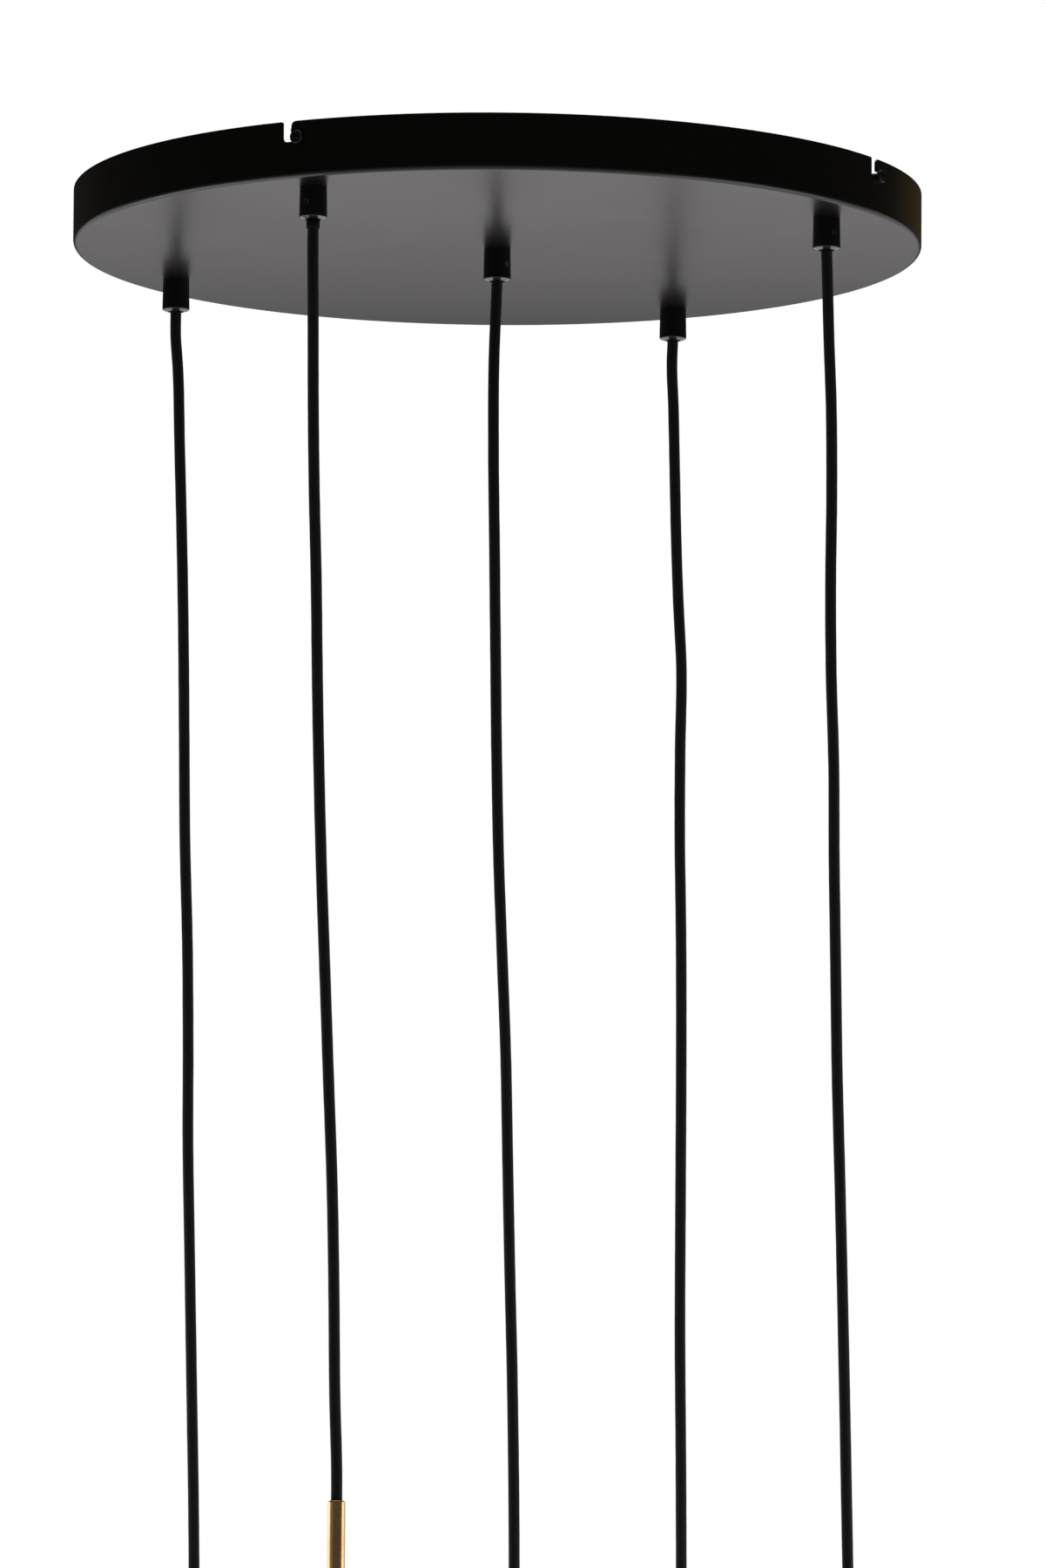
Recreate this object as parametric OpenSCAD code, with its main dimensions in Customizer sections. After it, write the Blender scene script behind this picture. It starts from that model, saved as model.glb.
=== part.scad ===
// Five-lamp pendant light. A round pan canopy locks on a crossed ceiling bracket with
// bayonet slots, and five braided cords hang from grips in its face. Each cord carries
// a thin brass stem, a lampholder and a globe lamp.
// Millimetres, +Z up. The origin is the centre of the bracket on the ceiling plane.

/* [Canopy] */
// Outer diameter of the round pan
canopy_d = 500; // [420:10:600]
// Height of the pan, from the rim's edge to the lower face
canopy_h = 33; // [31:1:45]
// Thickness of the pan's steel sheet
canopy_wall = 1.2; // [0.8:0.1:2]
// Outer radius of the pressed corner between face and rim
canopy_corner = 3; // [2.5:0.5:6]
// Gap left between the rim's edge and the ceiling
ceiling_gap = 1; // [0.5:0.5:3]

/* [Bayonet lock] */
// Angle that the pan turns between the open and the locked place
lock_turn = 1.6; // [1.4:0.1:3]
// Width of the upright leg of a slot
slot_w = 5.5; // [5:0.5:8]
// Gap round a screw's shank in the locking leg
slot_fit = 0.3; // [0.2:0.1:0.6]
// Rounding of the slot's mouth on the locking side
slot_lip = 3; // [1:0.5:4]
// Rounding of the slot's mouth on the other side
slot_lip_back = 1.2; // [0.5:0.1:3]
// Depth of the locking screws below the rim's edge
screw_drop = 9.7; // [9:0.1:14]
// Thread diameter of the locking screws
screw_d = 4; // [3:0.5:5]
// Diameter of the locking screws' heads
screw_head_d = 8; // [7:0.5:9]
// Height of the locking screws' heads
screw_head_h = 2.6; // [2:0.1:3.5]
// Length of shank that stands out inside the bracket's ear
screw_tail = 4; // [2:0.5:8]
// Gap between the rim and a screw's head
head_gap = 0.3; // [0.2:0.1:0.6]

/* [Ceiling bracket] */
// Width of the two crossed bars
bar_w = 25; // [22:1:36]
// Thickness of the bars
bar_t = 2; // [1.5:0.5:2.5]
// Outer bend radius where a bar turns down into its ears
bar_bend = 4; // [3:0.5:6]
// Width of the ears, narrow enough to leave the slots open
ear_w = 10; // [9:0.5:14]
// Gap between a bar's ears and the inside of the rim
ear_gap = 6.5; // [5:0.5:12]
// Length of ear below the screw hole
ear_below = 6; // [4:0.5:9]
// Distance between the two ceiling slots of a bar
ceiling_slot_spacing = 120; // [90:5:200]
// Width of a ceiling slot
ceiling_slot_w = 5.5; // [4.5:0.5:7]
// Length of a ceiling slot, end to end
ceiling_slot_l = 30; // [20:1:40]
// Diameter of the hole at the crossing for the mains cable
cable_hole_d = 12; // [8:0.5:13]
// Diameter of the rivets at the crossing
rivet_d = 3.2; // [2.5:0.1:4]
// Distance of each rivet from the crossing's centre lines
rivet_off = 8.5; // [8:0.1:9]
// Head diameter of the rivets
rivet_head_d = 6; // [5:0.5:7]
// Head height of the rivets
rivet_head_h = 1; // [0.8:0.1:2]
// Gap round a screw or rivet in its own hole
thread_fit = 0.05; // [0.02:0.01:0.1]

/* [Cord grips] */
// Distance of the four outer grips from the canopy's edge
grip_inset = 31; // [25:1:80]
// Diameter of a grip at its mouth
grip_d = 16.2; // [14.5:0.1:20]
// Diameter of a grip where it meets the canopy
grip_top_d = 15.6; // [14:0.1:20]
// Height of a grip below the canopy's face, at its outer edge
grip_h = 18; // [14:0.5:26]
// How far a grip's mouth stands below its outer edge
grip_dome = 1; // [0.5:0.1:2]
// Diameter of the mouth that the cord swings in
mouth_d = 9.5; // [9:0.1:12]
// Depth of the funnel above the mouth
mouth_depth = 2.5; // [2:0.1:4]
// Gap between the cord and a grip's bore
grip_bore_fit = 0.25; // [0.15:0.05:0.5]
// Bevel on the lower edge of a grip
grip_bevel = 0.5; // [0.2:0.1:1.5]
// Thread diameter of a grip's neck
neck_d = 9.8; // [9:0.1:12]
// Length of neck that stands above the canopy's face
neck_h = 10; // [8:0.5:12]
// Outer diameter of the washers
washer_d = 18; // [16:0.5:24]
// Thickness of the washers
washer_t = 1; // [0.8:0.1:1.6]
// Width of the hexagon nuts across the flats
nut_af = 14; // [13:0.5:17]
// Thickness of the hexagon nuts
nut_t = 3.5; // [2.5:0.5:5]
// Gap round a grip's neck in the canopy, washer and nut
neck_fit = 0.2; // [0.1:0.05:0.4]
// Diameter of the clamping screw in a grip's side
clamp_d = 4; // [3:0.5:5]
// Depth of the clamping screws below the canopy's face
clamp_drop = 9.5; // [7:0.5:12]
// How far a clamping screw sits inside the grip's side
clamp_sink = 0.4; // [0.2:0.1:1]
// Gap between a clamping screw's tip and the cord
clamp_tip_gap = 0.15; // [0.1:0.05:0.3]

/* [Cords] */
// Diameter of the braided cord
cord_d = 6.5; // [5:0.1:7]
// Free length of cord 1, far left, from its grip to its stem
cord_1_l = 847; // [700:1:1200]
// Free length of cord 2, near left, from its grip to its stem
cord_2_l = 740; // [700:1:1200]
// Free length of cord 3, centre, from its grip to its stem
cord_3_l = 899; // [700:1:1200]
// Free length of cord 4, far right, from its grip to its stem
cord_4_l = 807; // [700:1:1200]
// Free length of cord 5, near right, from its grip to its stem
cord_5_l = 877; // [700:1:1200]
// Length of cord that enters its stem
cord_in_stem = 4; // [2:0.5:10]
// Length of cord that enters its grip's mouth
cord_in_mouth = 1; // [0.5:0.1:1.5]
// Gap between the swinging cord and the clamped lead above it
cord_gap = 0.6; // [0.4:0.1:0.8]

/* [Leads in the canopy] */
// Angle at which a lead slopes down to the pan's floor
lead_slope = 30; // [20:1:45]
// Gap between a lead's arch and the bars over it
lead_clear = 4.5; // [1:0.5:6]
// Gap between a lead and the pan's floor
lead_lift = 1; // [0.5:0.1:2]

/* [Junction box] */
// Distance of the box from the bracket's centre, along X and along Y
box_off = 75; // [66:1:90]
// Outer radius of the round box
box_r = 33; // [30:1:36]
// Height of the box without its lid
box_h = 19; // [18:0.5:20]
// Wall of the box
box_wall = 2; // [1.5:0.1:3]
// Thickness of the lid
lid_t = 2; // [1.5:0.1:3]
// Diameter of the mains entry in the lid
entry_d = 9; // [7:0.5:12]
// Gap round a lead in the box's wall
entry_fit = 0.25; // [0.15:0.05:0.4]
// Radius of the pillars that the lid's screws go in
pillar_r = 3.5; // [3:0.1:4]
// Thread diameter of the lid's screws
lid_screw_d = 3; // [2.5:0.1:3.5]
// Head diameter of the lid's screws
lid_head_d = 5.5; // [5:0.1:6.5]
// Length of the three-pole terminal strip
strip_l = 30; // [26:1:34]
// Width of the terminal strip
strip_w = 16; // [14:0.5:20]
// Height of the terminal strip
strip_h = 13; // [10:0.5:15]
// Distance of the earth stud from the box's centre
earth_reach = 58; // [52:1:66]
// Diameter of the earth stud
earth_d = 4; // [3:0.5:5]
// Diameter of the earth wire over its cover
earth_wire_d = 2.6; // [2:0.1:3.2]

/* [Stems and lampholders] */
// Outer diameter of the brass stem
stem_d = 10; // [9.5:0.1:13]
// Wall of the stem
stem_wall = 1; // [0.6:0.1:1.4]
// Length of the stem
stem_l = 120; // [60:5:200]
// Rounding of the stem's upper edge
stem_round = 1; // [0.4:0.1:1.4]
// Thickness of the stem's closed top
stem_cap_t = 1.5; // [1:0.1:3]
// Gap between the cord and the hole in the stem's top
stem_hole_fit = 0.2; // [0.15:0.05:0.5]
// Outer diameter of the holder's brass cup
cup_d = 40; // [38.5:0.5:50]
// Height of the cup
cup_h = 44; // [43:1:60]
// Wall of the cup
cup_wall = 1.2; // [0.8:0.1:1.6]
// Radius of the cup's rounded shoulder
cup_shoulder = 10; // [5:0.5:12]
// Diameter of the neck that the stem screws in
cup_neck_d = 14; // [13:0.5:18]
// Height of the cup's neck
cup_neck_h = 6; // [4:0.5:12]
// Gap between the lamp socket and the cup's wall
socket_fit = 0.3; // [0.2:0.1:0.6]
// Thickness of the socket's flange under the cup
flange_t = 3; // [2:0.5:5]
// Height of the socket above its mouth
socket_h = 34; // [33:0.5:38]
// Radius of the socket's mouth
socket_mouth_r = 15.5; // [15:0.1:17]
// Depth of the socket's wide mouth
socket_mouth_h = 5; // [4:0.5:6]
// Wall of the socket's screw shell
shell_wall = 0.5; // [0.3:0.1:0.6]
// Gap between the screw shell and the lamp's cap, and the socket round it
shell_fit = 0.3; // [0.2:0.05:0.5]

/* [Lamps] */
// Diameter of the lamp's globe
globe_d = 80; // [60:1:95]
// Length of the lamp, from the tip of its cap to its lowest point
lamp_l = 118; // [112:1:140]
// Thickness of the lamp's glass
glass_t = 1; // [0.6:0.1:1.6]
// Outer diameter of the cap's thread
cap_d = 26.4; // [26:0.1:26.6]
// Length of the cap with its contact
cap_l = 24; // [22:0.5:26]
// Depth of the thread on the cap
thread_depth = 0.7; // [0.4:0.1:0.9]
// Pitch of the thread on the cap
thread_pitch = 3.6; // [3:0.1:3.7]
// Fillet between the lamp's neck and its globe
neck_fillet = 12; // [6:1:16]

/* [Hidden] */
COUNT = 5;
NUMBERS = [1 : COUNT];
function numbered(name) = [for (k = NUMBERS) str(name, "_", k)];

satin_black = [0.03, 0.03, 0.035];
braid_black = [0.05, 0.05, 0.05];
zinc = [0.75, 0.76, 0.78];
nickel = [0.8, 0.79, 0.75];
brass = [0.72, 0.56, 0.32];
ivory = [0.9, 0.89, 0.84];
opal = [0.96, 0.95, 0.92];
eps = 0.01;
over = 1;

// Heights
z_rim = -ceiling_gap;
z_face = z_rim - canopy_h;
z_floor = z_face + canopy_wall;
z_screw = z_rim - screw_drop;
z_bars = -2 * bar_t;
z_grip_edge = z_face - grip_h;
z_mouth = z_grip_edge - grip_dome;
z_neck = z_face + neck_h;

// Canopy and lock
canopy_r = canopy_d / 2;
rim_r = canopy_r - canopy_wall;
corner_steps = 12;
lock_run = canopy_r * lock_turn * PI / 180;
leg_h = screw_d + 2 * slot_fit;
z_foot = z_screw - leg_h / 2;
ear_out = sqrt(pow(rim_r, 2) - pow(ear_w / 2, 2)) - ear_gap;

// Grips: turn of each about the centre, and 0 or 1 for the centre or the ring
pan_turn = -lock_turn;
grip_ring_r = canopy_r - grip_inset;
grip_turn = [180, 270, 0, 90, 0];
grip_out = [1, 1, 0, 1, 1];
clamp_turn = [118, 265, 350, 150, 335];
function grip_xy(k) =
  let (a = grip_turn[k - 1] + pan_turn, r = grip_out[k - 1] * grip_ring_r)
  [r * cos(a), r * sin(a)];
bore_r = cord_d / 2 + grip_bore_fit;
neck_hole_r = neck_d / 2 + neck_fit;

// Cord routes, as [drop below the mouth, drift to the side, drift in depth]. The side
// drift runs in the direction drift_turn, and a cord follows its route down to its stem.
drift_turn = 27.4;
route_1 = [
  [14, 0, 0], [34, 1.5, -0.5], [80, 3, -1], [140, 5, -1.5], [200, 6.5, -1], [260, 7.5, 0],
  [320, 8.5, 1], [380, 10.5, 1.5], [440, 11.5, 1.5], [500, 12, 1], [560, 13.5, 0.5],
  [640, 15.5, 0], [720, 17.5, -0.5], [800, 18.5, 0]
];
route_2 = [
  [14, 0, 0], [60, 0.5, 0.5], [110, 1, 1], [160, 2, 1.5], [210, 3.5, 1], [260, 4.5, 0.5],
  [320, 6, 0], [380, 8, -1], [440, 10.5, -1.5], [500, 13, -1.5], [560, 15.5, -1],
  [620, 17, -0.5], [680, 18, 0], [730, 19.5, 0]
];
route_3 = [
  [14, -0.5, 0], [45, -1.5, -0.5], [100, -1.5, -1], [160, -0.5, -1], [220, 0.5, 0],
  [280, 1.5, 1], [340, 3, 1.5], [400, 5.5, 2], [460, 8, 1.5], [520, 9.5, 1], [580, 11, 0],
  [650, 13, -0.5], [730, 14.5, -0.5], [830, 15, 0]
];
route_4 = [
  [14, -0.5, 0], [40, 0.5, 0.5], [80, 1.5, 0.5], [120, 2.5, 0], [160, 4, -0.5], [200, 6, -1],
  [250, 5.5, -1], [300, 5.5, -0.5], [360, 6.5, 0], [430, 7, 1], [510, 7, 1.5], [600, 7, 1],
  [690, 8, 0.5], [770, 8.5, 0]
];
route_5 = [
  [14, 0.5, 0], [50, 1.5, 0.5], [90, 3, 1], [140, 3.5, 1.5], [200, 3, 1], [250, 3.5, 0],
  [300, 5, -1], [360, 5.5, -1.5], [420, 6.5, -1.5], [480, 7.5, -1], [550, 9.5, 0],
  [630, 11.5, 0.5], [720, 13.5, 0.5], [800, 15, 0]
];
routes = [route_1, route_2, route_3, route_4, route_5];
cord_l = [cord_1_l, cord_2_l, cord_3_l, cord_4_l, cord_5_l];
cord_r = cord_d / 2;
cord_sides = 10;
function drift_end(k) = let (route = routes[k - 1]) route[len(route) - 1][1];
function stem_xy(k) = grip_xy(k) + drift_end(k) * [cos(drift_turn), sin(drift_turn)];
function z_stem(k) = z_mouth - cord_l[k - 1];

// Leads
z_lead_low = z_mouth + cord_in_mouth + cord_gap;
z_arch = z_neck + over / 2;
lead_bend = z_bars - lead_clear - cord_r - z_arch;
z_lead = z_floor + lead_lift + cord_r;
lead_sides = 8;
box_xy = [box_off, box_off];
entry_depth = 0.8 * box_wall;
function lead_heading(k) =
  let (d = box_xy - grip_xy(k))
  atan2(d[1], d[0]);
function lead_length(k) = norm(box_xy - grip_xy(k)) - box_r + entry_depth;

// Junction box
pillar_gap = 2;
pillar_off = box_r - box_wall - pillar_r - pillar_gap;
pillar_turns = [135, 315];
lid_lip_h = 1.5;
lid_lip_t = 1.2;
lid_screw_l = 6;
lid_hole_l = 8;
strip_turn = 45;
earth_turn = 45;
earth_h = 7;
z_earth = z_floor + earth_h;
tag_t = 0.8;
tag_gap = 0.1;

// Lampholder and lamp, as heights below the stem's top
d_cup = stem_l;
d_cup_edge = d_cup + cup_h;
d_mouth = d_cup_edge + flange_t;
socket_roof = 3;
contact_room = 3;
d_tip = d_mouth - socket_h + socket_roof + contact_room;
d_cap_edge = d_tip + cap_l;
d_lowest = d_tip + lamp_l;
globe_r = globe_d / 2;
d_globe = d_lowest - globe_r;
cap_r = cap_d / 2;
cap_root_r = cap_r - thread_depth;
cap_sheet = 0.4;
cap_in_r = cap_root_r - cap_sheet;
lamp_neck_fit = 0.2;
lamp_neck_r = cap_in_r - lamp_neck_fit;
lamp_neck_in = 3;
shell_r = cap_r + shell_fit;
socket_bore_r = shell_r + shell_wall + shell_fit;

// Points on an arc about [cx, cy] from one angle to another
function arc(cx, cy, r, from, to, steps) =
  [for (i = [0 : steps]) let (a = from + (to - from) * i / steps) [cx + r * cos(a), cy + r * sin(a)]];

// Faces of a tube of rings with the same number of sides, closed at both ends
function tube_faces(rings, sides) = concat(
  [[for (s = [0 : sides - 1]) s]],
  [for (r = [0 : rings - 2]) for (s = [0 : sides - 1])
    let (a = r * sides + s, b = r * sides + (s + 1) % sides)
    [a, a + sides, b + sides]],
  [for (r = [0 : rings - 2]) for (s = [0 : sides - 1])
    let (a = r * sides + s, b = r * sides + (s + 1) % sides)
    [a, b + sides, b]],
  [[for (s = [sides - 1 : -1 : 0]) (rings - 1) * sides + s]]
);

// Canopy

module pan_profile() {
  c = canopy_r - canopy_corner;
  zc = z_face + canopy_corner;
  polygon(concat(
    [[0, z_face]], arc(c, zc, canopy_corner, 270, 360, corner_steps),
    [[canopy_r, z_rim], [rim_r, z_rim]],
    arc(c, zc, canopy_corner - canopy_wall, 360, 270, corner_steps), [[0, z_floor]]
  ));
}

module lip(r) {
  difference() {
    translate([-eps, 0]) square([r + eps, r + over]);
    translate([r, 0]) circle(r, $fn = 32);
  }
}

module slot_outline() {
  z_round = z_foot + slot_w / 2;
  translate([-slot_w / 2, z_round]) square([slot_w, z_rim + over - z_round]);
  translate([0, z_round]) circle(slot_w / 2, $fn = 32);
  translate([0, z_foot]) square([lock_run, leg_h]);
  translate([lock_run, z_screw]) circle(leg_h / 2, $fn = 32);
  translate([slot_w / 2, z_rim - slot_lip]) lip(slot_lip);
  translate([-slot_w / 2, z_rim - slot_lip_back]) mirror([1, 0]) lip(slot_lip_back);
}

module canopy_pan() {
  cut = canopy_wall + 3 * over;
  color(satin_black)
  difference() {
    rotate_extrude($fn = 180) pan_profile();
    for (k = NUMBERS)
      translate([grip_xy(k)[0], grip_xy(k)[1], z_face - over])
        cylinder(r = neck_hole_r, h = canopy_wall + 2 * over, $fn = 48);
    for (i = [0 : 3])
      rotate([0, 0, pan_turn + 90 * i]) translate([canopy_r + over - cut, 0, 0])
        rotate([90, 0, 90]) linear_extrude(cut) slot_outline();
  }
}

// Ceiling bracket

module bar_outline(top) {
  low = z_screw - ear_below;
  c = ear_out - bar_bend;
  zc = top - bar_bend;
  inner = bar_bend - bar_t;
  polygon(concat(
    [[ear_out, low]], arc(c, zc, bar_bend, 0, 90, 6), arc(-c, zc, bar_bend, 90, 180, 6),
    [[-ear_out, low], [bar_t - ear_out, low]], arc(-c, zc, inner, 180, 90, 6),
    arc(c, zc, inner, 90, 0, 6), [[ear_out - bar_t, low]]
  ));
}

module ceiling_slot(top) {
  run = ceiling_slot_l - ceiling_slot_w;
  translate([0, 0, top - bar_t - over]) {
    for (s = [-1, 1])
      translate([s * run / 2, 0, 0]) cylinder(d = ceiling_slot_w, h = bar_t + 2 * over, $fn = 32);
    translate([-run / 2, -ceiling_slot_w / 2, 0]) cube([run, ceiling_slot_w, bar_t + 2 * over]);
  }
}

module at_rivets() {
  for (s = [-1, 1]) translate([s * rivet_off, s * rivet_off, 0]) children();
}

module bar(top) {
  ear_neck = 3;
  ear_start = ear_out - bar_bend - ear_neck;
  difference() {
    translate([0, bar_w / 2, 0]) rotate([90, 0, 0]) linear_extrude(bar_w) bar_outline(top);
    for (s = [-1, 1]) for (t = [-1, 1])
      translate([s * (ear_start + canopy_r / 2), t * (ear_w / 2 + bar_w / 2), 0])
        cube([canopy_r, bar_w, 4 * canopy_h], center = true);
    for (s = [-1, 1]) {
      translate([s * ceiling_slot_spacing / 2, 0, 0]) ceiling_slot(top);
      translate([s * (ear_out + over), 0, z_screw]) rotate([0, -s * 90, 0])
        cylinder(r = screw_d / 2 + thread_fit, h = bar_t + 2 * over, $fn = 32);
    }
    translate([0, 0, top - bar_t - over]) {
      cylinder(d = cable_hole_d, h = bar_t + 2 * over, $fn = 48);
      at_rivets() cylinder(r = rivet_d / 2 + thread_fit, h = bar_t + 2 * over, $fn = 32);
      mirror([1, 0, 0])
        at_rivets() cylinder(r = rivet_d / 2 + thread_fit, h = bar_t + 2 * over, $fn = 32);
    }
  }
}

module ceiling_bar() {
  color(zinc) bar(0);
}

module cross_bar() {
  color(zinc) rotate([0, 0, 90]) bar(-bar_t);
}

module rivet() {
  translate([0, 0, z_bars - rivet_head_h]) {
    cylinder(d = rivet_d, h = rivet_head_h - z_bars, $fn = 32);
    cylinder(d1 = 0.8 * rivet_head_d, d2 = rivet_head_d, h = rivet_head_h, $fn = 32);
  }
}

module bar_rivets() {
  color(zinc) {
    at_rivets() rivet();
    mirror([1, 0, 0]) at_rivets() rivet();
  }
}

module head_recess(width, length, depth) {
  for (a = [0, 90])
    rotate([0, 0, a]) translate([-length / 2, -width / 2, -depth]) cube([length, width, depth + over]);
}

module locking_screw() {
  seat = canopy_r + head_gap;
  start = ear_out - bar_t - screw_tail;
  head_r = screw_head_d / 2;
  round_r = 1;
  translate([start, 0, z_screw]) rotate([0, 90, 0]) difference() {
    union() {
      cylinder(d = screw_d, h = seat - start + eps, $fn = 32);
      translate([0, 0, seat - start]) rotate_extrude($fn = 48) polygon(concat(
        [[0, 0], [head_r, 0]],
        arc(head_r - round_r, screw_head_h - round_r, round_r, 0, 90, 5), [[0, screw_head_h]]
      ));
    }
    translate([0, 0, seat - start + screw_head_h])
      head_recess(screw_head_d / 8, screw_head_d / 2, screw_head_h / 2);
  }
}

module canopy_screws() {
  color(satin_black)
  for (i = [0 : 3]) rotate([0, 0, 90 * i]) locking_screw();
}

// Cord grips

module at_grip(k) {
  translate([grip_xy(k)[0], grip_xy(k)[1], 0]) children();
}

module grip_profile() {
  r = grip_d / 2;
  neck_bevel = 0.5;
  polygon([
    [bore_r, z_neck], [neck_d / 2 - neck_bevel, z_neck], [neck_d / 2, z_neck - neck_bevel],
    [neck_d / 2, z_face], [grip_top_d / 2, z_face], [r, z_grip_edge + grip_bevel],
    [r - grip_bevel, z_grip_edge], [mouth_d / 2, z_mouth], [bore_r, z_mouth + mouth_depth]
  ]);
}

module cord_grip(k) {
  color(satin_black)
  at_grip(k) difference() {
    rotate_extrude($fn = 64) grip_profile();
    rotate([0, 0, clamp_turn[k - 1]]) translate([0, 0, z_face - clamp_drop]) rotate([0, 90, 0])
      cylinder(r = clamp_d / 2 + thread_fit, h = grip_d, $fn = 32);
  }
}

module grip_washers() {
  color(zinc)
  for (k = NUMBERS) at_grip(k) translate([0, 0, z_floor]) difference() {
    cylinder(d = washer_d, h = washer_t, $fn = 48);
    translate([0, 0, -over]) cylinder(r = neck_hole_r, h = washer_t + 2 * over, $fn = 48);
  }
}

module grip_nuts() {
  color(zinc)
  for (k = NUMBERS) at_grip(k) translate([0, 0, z_floor + washer_t]) difference() {
    cylinder(d = nut_af / cos(30), h = nut_t, $fn = 6);
    translate([0, 0, -over]) cylinder(r = neck_hole_r, h = nut_t + 2 * over, $fn = 48);
  }
}

module grip_screws() {
  tip = cord_r + clamp_tip_gap;
  side = grip_top_d / 2 + (grip_d - grip_top_d) / 2 * clamp_drop / grip_h;
  length = side - clamp_sink - tip;
  color(satin_black)
  for (k = NUMBERS) at_grip(k)
    rotate([0, 0, clamp_turn[k - 1]]) translate([tip, 0, z_face - clamp_drop]) rotate([0, 90, 0])
      difference() {
        cylinder(d = clamp_d, h = length, $fn = 32);
        translate([-clamp_d, -clamp_d / 10, length - clamp_d / 4])
          cube([2 * clamp_d, clamp_d / 5, clamp_d]);
      }
}

// Leads from the grips to the junction box. A path's points are [distance along the
// heading, height, angle of climb].

function lead_path(k) = let (
  slope = lead_slope,
  arch_end = [lead_bend * (1 + sin(slope)), z_arch + lead_bend * cos(slope)],
  fall = arch_end[1] - z_lead - lead_bend * (1 - cos(slope)),
  foot = arch_end[0] + fall / tan(slope) + lead_bend * sin(slope)
) concat(
  [[0, z_lead_low, 90]],
  [for (i = [0 : 4]) let (a = 180 - (90 + slope) * i / 4)
    [lead_bend * (1 + cos(a)), z_arch + lead_bend * sin(a), a - 90]],
  [for (a = [270 - slope, 270])
    [foot + lead_bend * cos(a), z_lead + lead_bend * (1 + sin(a)), a - 270]],
  [[lead_length(k), z_lead, 0]]
);

module lead(k) {
  path = lead_path(k);
  color(braid_black)
  at_grip(k) rotate([0, 0, lead_heading(k)]) polyhedron(
    points = [for (p = path) for (s = [0 : lead_sides - 1]) let (a = 360 * s / lead_sides)
      [p[0] - cord_r * cos(a) * sin(p[2]), cord_r * sin(a), p[1] + cord_r * cos(a) * cos(p[2])]],
    faces = tube_faces(len(path), lead_sides)
  );
}

// Junction box, terminal strip and earth

module at_box() {
  translate([box_xy[0], box_xy[1], z_floor]) children();
}

module at_pillars() {
  for (a = pillar_turns) rotate([0, 0, a]) translate([pillar_off, 0, 0]) children();
}

module junction_box() {
  color(ivory)
  at_box() difference() {
    union() {
      difference() {
        cylinder(r = box_r, h = box_h, $fn = 96);
        translate([0, 0, box_wall]) cylinder(r = box_r - box_wall, h = box_h, $fn = 96);
      }
      at_pillars() cylinder(r = pillar_r, h = box_h, $fn = 32);
    }
    at_pillars() translate([0, 0, box_h - lid_hole_l])
      cylinder(r = lid_screw_d / 2 + thread_fit, h = lid_hole_l + over, $fn = 32);
    for (k = NUMBERS) rotate([0, 0, lead_heading(k) + 180])
      translate([box_r - 2 * box_wall, 0, z_lead - z_floor]) rotate([0, 90, 0])
        cylinder(r = cord_r + entry_fit, h = 4 * box_wall, $fn = 48);
    rotate([0, 0, earth_turn]) translate([box_r - 2 * box_wall, 0, z_earth - z_floor])
      rotate([0, 90, 0]) cylinder(r = earth_wire_d / 2 + entry_fit, h = 4 * box_wall, $fn = 32);
  }
}

module junction_lid() {
  lip_r = box_r - box_wall - entry_fit;
  color(ivory)
  at_box() translate([0, 0, box_h]) difference() {
    union() {
      cylinder(r = box_r, h = lid_t, $fn = 96);
      translate([0, 0, -lid_lip_h]) difference() {
        cylinder(r = lip_r, h = lid_lip_h + eps, $fn = 96);
        translate([0, 0, -over])
          cylinder(r = lip_r - lid_lip_t, h = lid_lip_h + 2 * over, $fn = 96);
      }
    }
    translate([0, 0, -over]) cylinder(d = entry_d, h = lid_t + 2 * over, $fn = 48);
    at_pillars() translate([0, 0, -over])
      cylinder(r = lid_screw_d / 2 + 2 * thread_fit, h = lid_t + 2 * over, $fn = 32);
  }
}

module lid_screws() {
  head_h = lid_head_d / 3;
  color(zinc)
  at_box() at_pillars() difference() {
    union() {
      translate([0, 0, box_h - lid_screw_l])
        cylinder(d = lid_screw_d, h = lid_screw_l + lid_t + eps, $fn = 32);
      translate([0, 0, box_h + lid_t])
        cylinder(d1 = lid_head_d, d2 = 0.8 * lid_head_d, h = head_h, $fn = 32);
    }
    translate([0, 0, box_h + lid_t + head_h])
      head_recess(lid_head_d / 8, lid_head_d / 2, head_h / 2);
  }
}

module terminal_strip() {
  pole = strip_l / 3;
  hole_r = pole / 5;
  groove = 1;
  z_wires = 0.3 * strip_h;
  z_screws = 0.4 * strip_h;
  color(ivory)
  at_box() rotate([0, 0, strip_turn]) translate([-strip_l / 2, -strip_w / 2, box_wall]) difference() {
    cube([strip_l, strip_w, strip_h]);
    for (i = [1, 2]) translate([i * pole - groove / 2, -over, z_screws])
      cube([groove, strip_w + 2 * over, strip_h]);
    for (i = [0 : 2]) translate([(i + 0.5) * pole, 0, 0]) {
      translate([0, -over, z_wires]) rotate([-90, 0, 0])
        cylinder(r = hole_r, h = strip_w + 2 * over, $fn = 32);
      for (s = [0.25, 0.75]) translate([0, strip_w * s, z_screws])
        cylinder(r = hole_r, h = strip_h, $fn = 32);
    }
  }
}

module at_earth() {
  rotate([0, 0, earth_turn]) translate([earth_reach, 0, 0]) children();
}

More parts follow.
